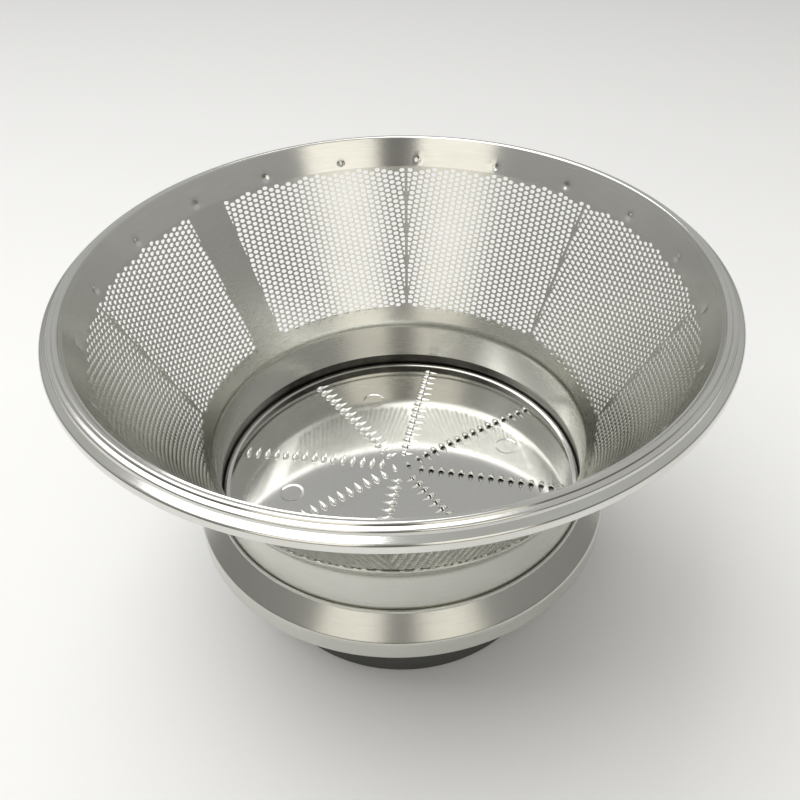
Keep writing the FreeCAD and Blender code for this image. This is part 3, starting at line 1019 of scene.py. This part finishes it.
def make_floor():
    """Wide pale floor that keeps the object's shadow; its colour is painted darker towards the back as
    light falloff.
    """
    material, tree, shader, place = new_material("floor_paint")
    shade = noise(tree, place, scale=3.0, detail=2.0, rough=0.5)
    split = tree.nodes.new("ShaderNodeSeparateXYZ")
    tree.links.new(place, split.inputs[0])
    white, off_white, painted_falloff_grey = (0.935,) * 3, (0.925,) * 3, (0.68,) * 3
    # Painted shade: the floor's colour darkens towards the back in place of light falloff
    depth = spread(tree, split.outputs[1], 0.0, 1.0, from_low=0.1, from_high=0.6)
    near = blend_colour(tree, spread(tree, shade, 0.0, 1.0), white, off_white)
    tree.links.new(blend_colour(tree, depth, near, painted_falloff_grey), shader.inputs["Base Color"])
    shader.inputs["Roughness"].default_value = 0.9
    shader.inputs["Specular IOR Level"].default_value = 0.1
    half, clearance = 40.0, 0.0002
    mesh = bpy.data.meshes.new("floor")
    corners = [(-half, -half, 0), (half, -half, 0), (half, half, 0), (-half, half, 0)]
    mesh.from_pydata(corners, [], [(0, 1, 2, 3)])
    mesh.materials.append(material)
    floor = bpy.data.objects.new("floor", mesh)
    floor.location.z = -clearance
    bpy.context.scene.collection.objects.link(floor)


def make_world():
    """Studio surround: dim room and a dark gap in front, lighter behind and overhead, pale backdrop."""
    dim_room, light_room = (0.14, 0.132, 0.12), (0.53, 0.53, 0.52)
    horizon, backdrop_white = (0.5, 0.5, 0.495), (0.93, 0.93, 0.93)
    world = bpy.data.worlds.new("studio")
    bpy.context.scene.world = world
    world.use_nodes = True
    tree = world.node_tree
    coords = tree.nodes.new("ShaderNodeTexCoord")
    split = tree.nodes.new("ShaderNodeSeparateXYZ")
    tree.links.new(coords.outputs["Generated"], split.inputs[0])
    behind = math_node(tree, "MULTIPLY", split.outputs[1], 0.45)
    above = math_node(tree, "MULTIPLY", split.outputs[2], 1.5)
    share = spread(tree, math_node(tree, "ADD", behind, above), 0.0, 1.0, from_low=0.0, from_high=0.75)
    beside = math_node(tree, "ABSOLUTE", split.outputs[0])
    inwards = math_node(tree, "MAXIMUM", math_node(tree, "ADD", split.outputs[1], 0.7), 0.0)
    gap = spread(tree, math_node(tree, "ADD", beside, inwards), 0.25, 1.0, from_low=0.06, from_high=0.14)
    share = math_node(tree, "MULTIPLY", share, gap)
    colour = blend_colour(tree, share, dim_room, light_room)
    surround = tree.nodes["Background"]
    tree.links.new(colour, surround.inputs["Color"])
    backdrop = tree.nodes.new("ShaderNodeBackground")
    rise = spread(tree, split.outputs[2], 0.0, 1.0, from_low=0.0, from_high=0.2)
    tree.links.new(blend_colour(tree, rise, horizon, backdrop_white), backdrop.inputs["Color"])
    path = tree.nodes.new("ShaderNodeLightPath")
    mix = tree.nodes.new("ShaderNodeMixShader")
    tree.links.new(path.outputs["Is Camera Ray"], mix.inputs["Fac"])
    tree.links.new(surround.outputs[0], mix.inputs[1])
    tree.links.new(backdrop.outputs[0], mix.inputs[2])
    tree.links.new(mix.outputs[0], tree.nodes["World Output"].inputs["Surface"])


def softbox(name, place, aim, width, height, glow, colour):
    """Area lamp of a given surface brightness, turned towards a point; all in metres."""
    lamp = bpy.data.lights.new(name, "AREA")
    lamp.shape = "RECTANGLE"
    lamp.size = width
    lamp.size_y = height
    lamp.energy = math.pi * width * height * glow
    lamp.color = colour
    holder = bpy.data.objects.new(name, lamp)
    holder.location = place
    holder.rotation_euler = (Vector(aim) - Vector(place)).to_track_quat("-Z", "Y").to_euler()
    bpy.context.scene.collection.objects.link(holder)


def make_lights():
    """Large softbox overhead and two upright ones in front, with a dark gap between them."""
    white, cream = (1.0, 0.995, 0.98), (1.0, 0.95, 0.84)
    softbox("overhead", place=(-0.45, 0.15, 1.25), aim=(-0.1, 0.05, 0.0),
            width=1.5, height=1.0, glow=2.45, colour=white)
    away, middle, tall, glow = -1.1, 0.85, 1.1, 0.94
    for name, aside, width in (("front_left", -0.565, 0.75), ("front_right", 0.505, 0.71)):
        softbox(name, (aside, away, middle), (aside, 0.0, middle), width, tall, glow, cream)


def make_camera():
    """Camera at the photograph's viewing angle."""
    tilt = math.radians(43.17)
    roll = math.radians(0.42)
    data = bpy.data.cameras.new("camera")
    data.sensor_width = 36.0
    data.lens = 42.94
    data.shift_x = -0.0434
    data.shift_y = 0.0684
    data.clip_start = 0.01
    camera = bpy.data.objects.new("camera", data)
    turn = Matrix.Rotation(math.pi / 2 - tilt, 4, "X") @ Matrix.Rotation(-roll, 4, "Z")
    camera.matrix_world = Matrix.Translation((0.00996, -0.2066, 0.2405)) @ turn
    bpy.context.scene.collection.objects.link(camera)
    bpy.context.scene.camera = camera


# Assembly

def make_cone(material, band_material):
    """All panels of the perforated sheet and its seam, which together stand for the CAD cone."""
    pieces = [make_panel(number, material, band_material) for number in range(PANEL_COUNT)]
    pieces.append(make_seam(material))
    for piece in pieces:
        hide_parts("mesh_cone")


def build():
    """Dresses the part and sets the stage."""
    bright, shade = (0.69, 0.69, 0.65), (0.58, 0.58, 0.535)
    rim_steel = steel("rim_steel", (0.75, 0.75, 0.72), (0.64, 0.635, 0.6),
                      smooth=0.1, rough=0.18, grain=0.006, wave=0.08)
    mesh_steel = steel("mesh_steel", bright, shade, smooth=0.2, rough=0.3, grain=0.010, wave=0.05)
    pan_steel = steel("pan_steel", bright, shade, smooth=0.16, rough=0.28, grain=0.012, wave=0.10)
    flange_steel = steel("flange_steel", (0.62, 0.62, 0.585), (0.54, 0.54, 0.5),
                         smooth=0.2, rough=0.27, grain=0.006, wave=0.10)
    disc_steel = steel("disc_steel", (0.7, 0.695, 0.675), (0.62, 0.615, 0.595),
                       smooth=0.05, rough=0.11, grain=0.002, wave=0.05)
    # Painted highlight: the teeth take a lighter steel than the disc to stand in for their bright glints;
    # their rougher punched finish is their own
    tooth_steel = steel("tooth_steel", (0.86, 0.86, 0.83), (0.74, 0.74, 0.71),
                        smooth=0.3, rough=0.42, grain=0.004, wave=0.02)
    make_rim(rim_steel)
    make_cone(mesh_steel, rim_steel)
    make_pan(pan_steel, channel_shade_steel("channel_painted_shade"))
    make_flange(flange_steel)
    make_disc(disc_steel, tooth_steel)
    make_hub(plastic("hub_plastic", (0.05, 0.051, 0.046), (0.075, 0.076, 0.07)))
    make_floor()
    make_world()
    make_lights()
    make_camera()
    bpy.context.scene.view_settings.view_transform = "Standard"


build()
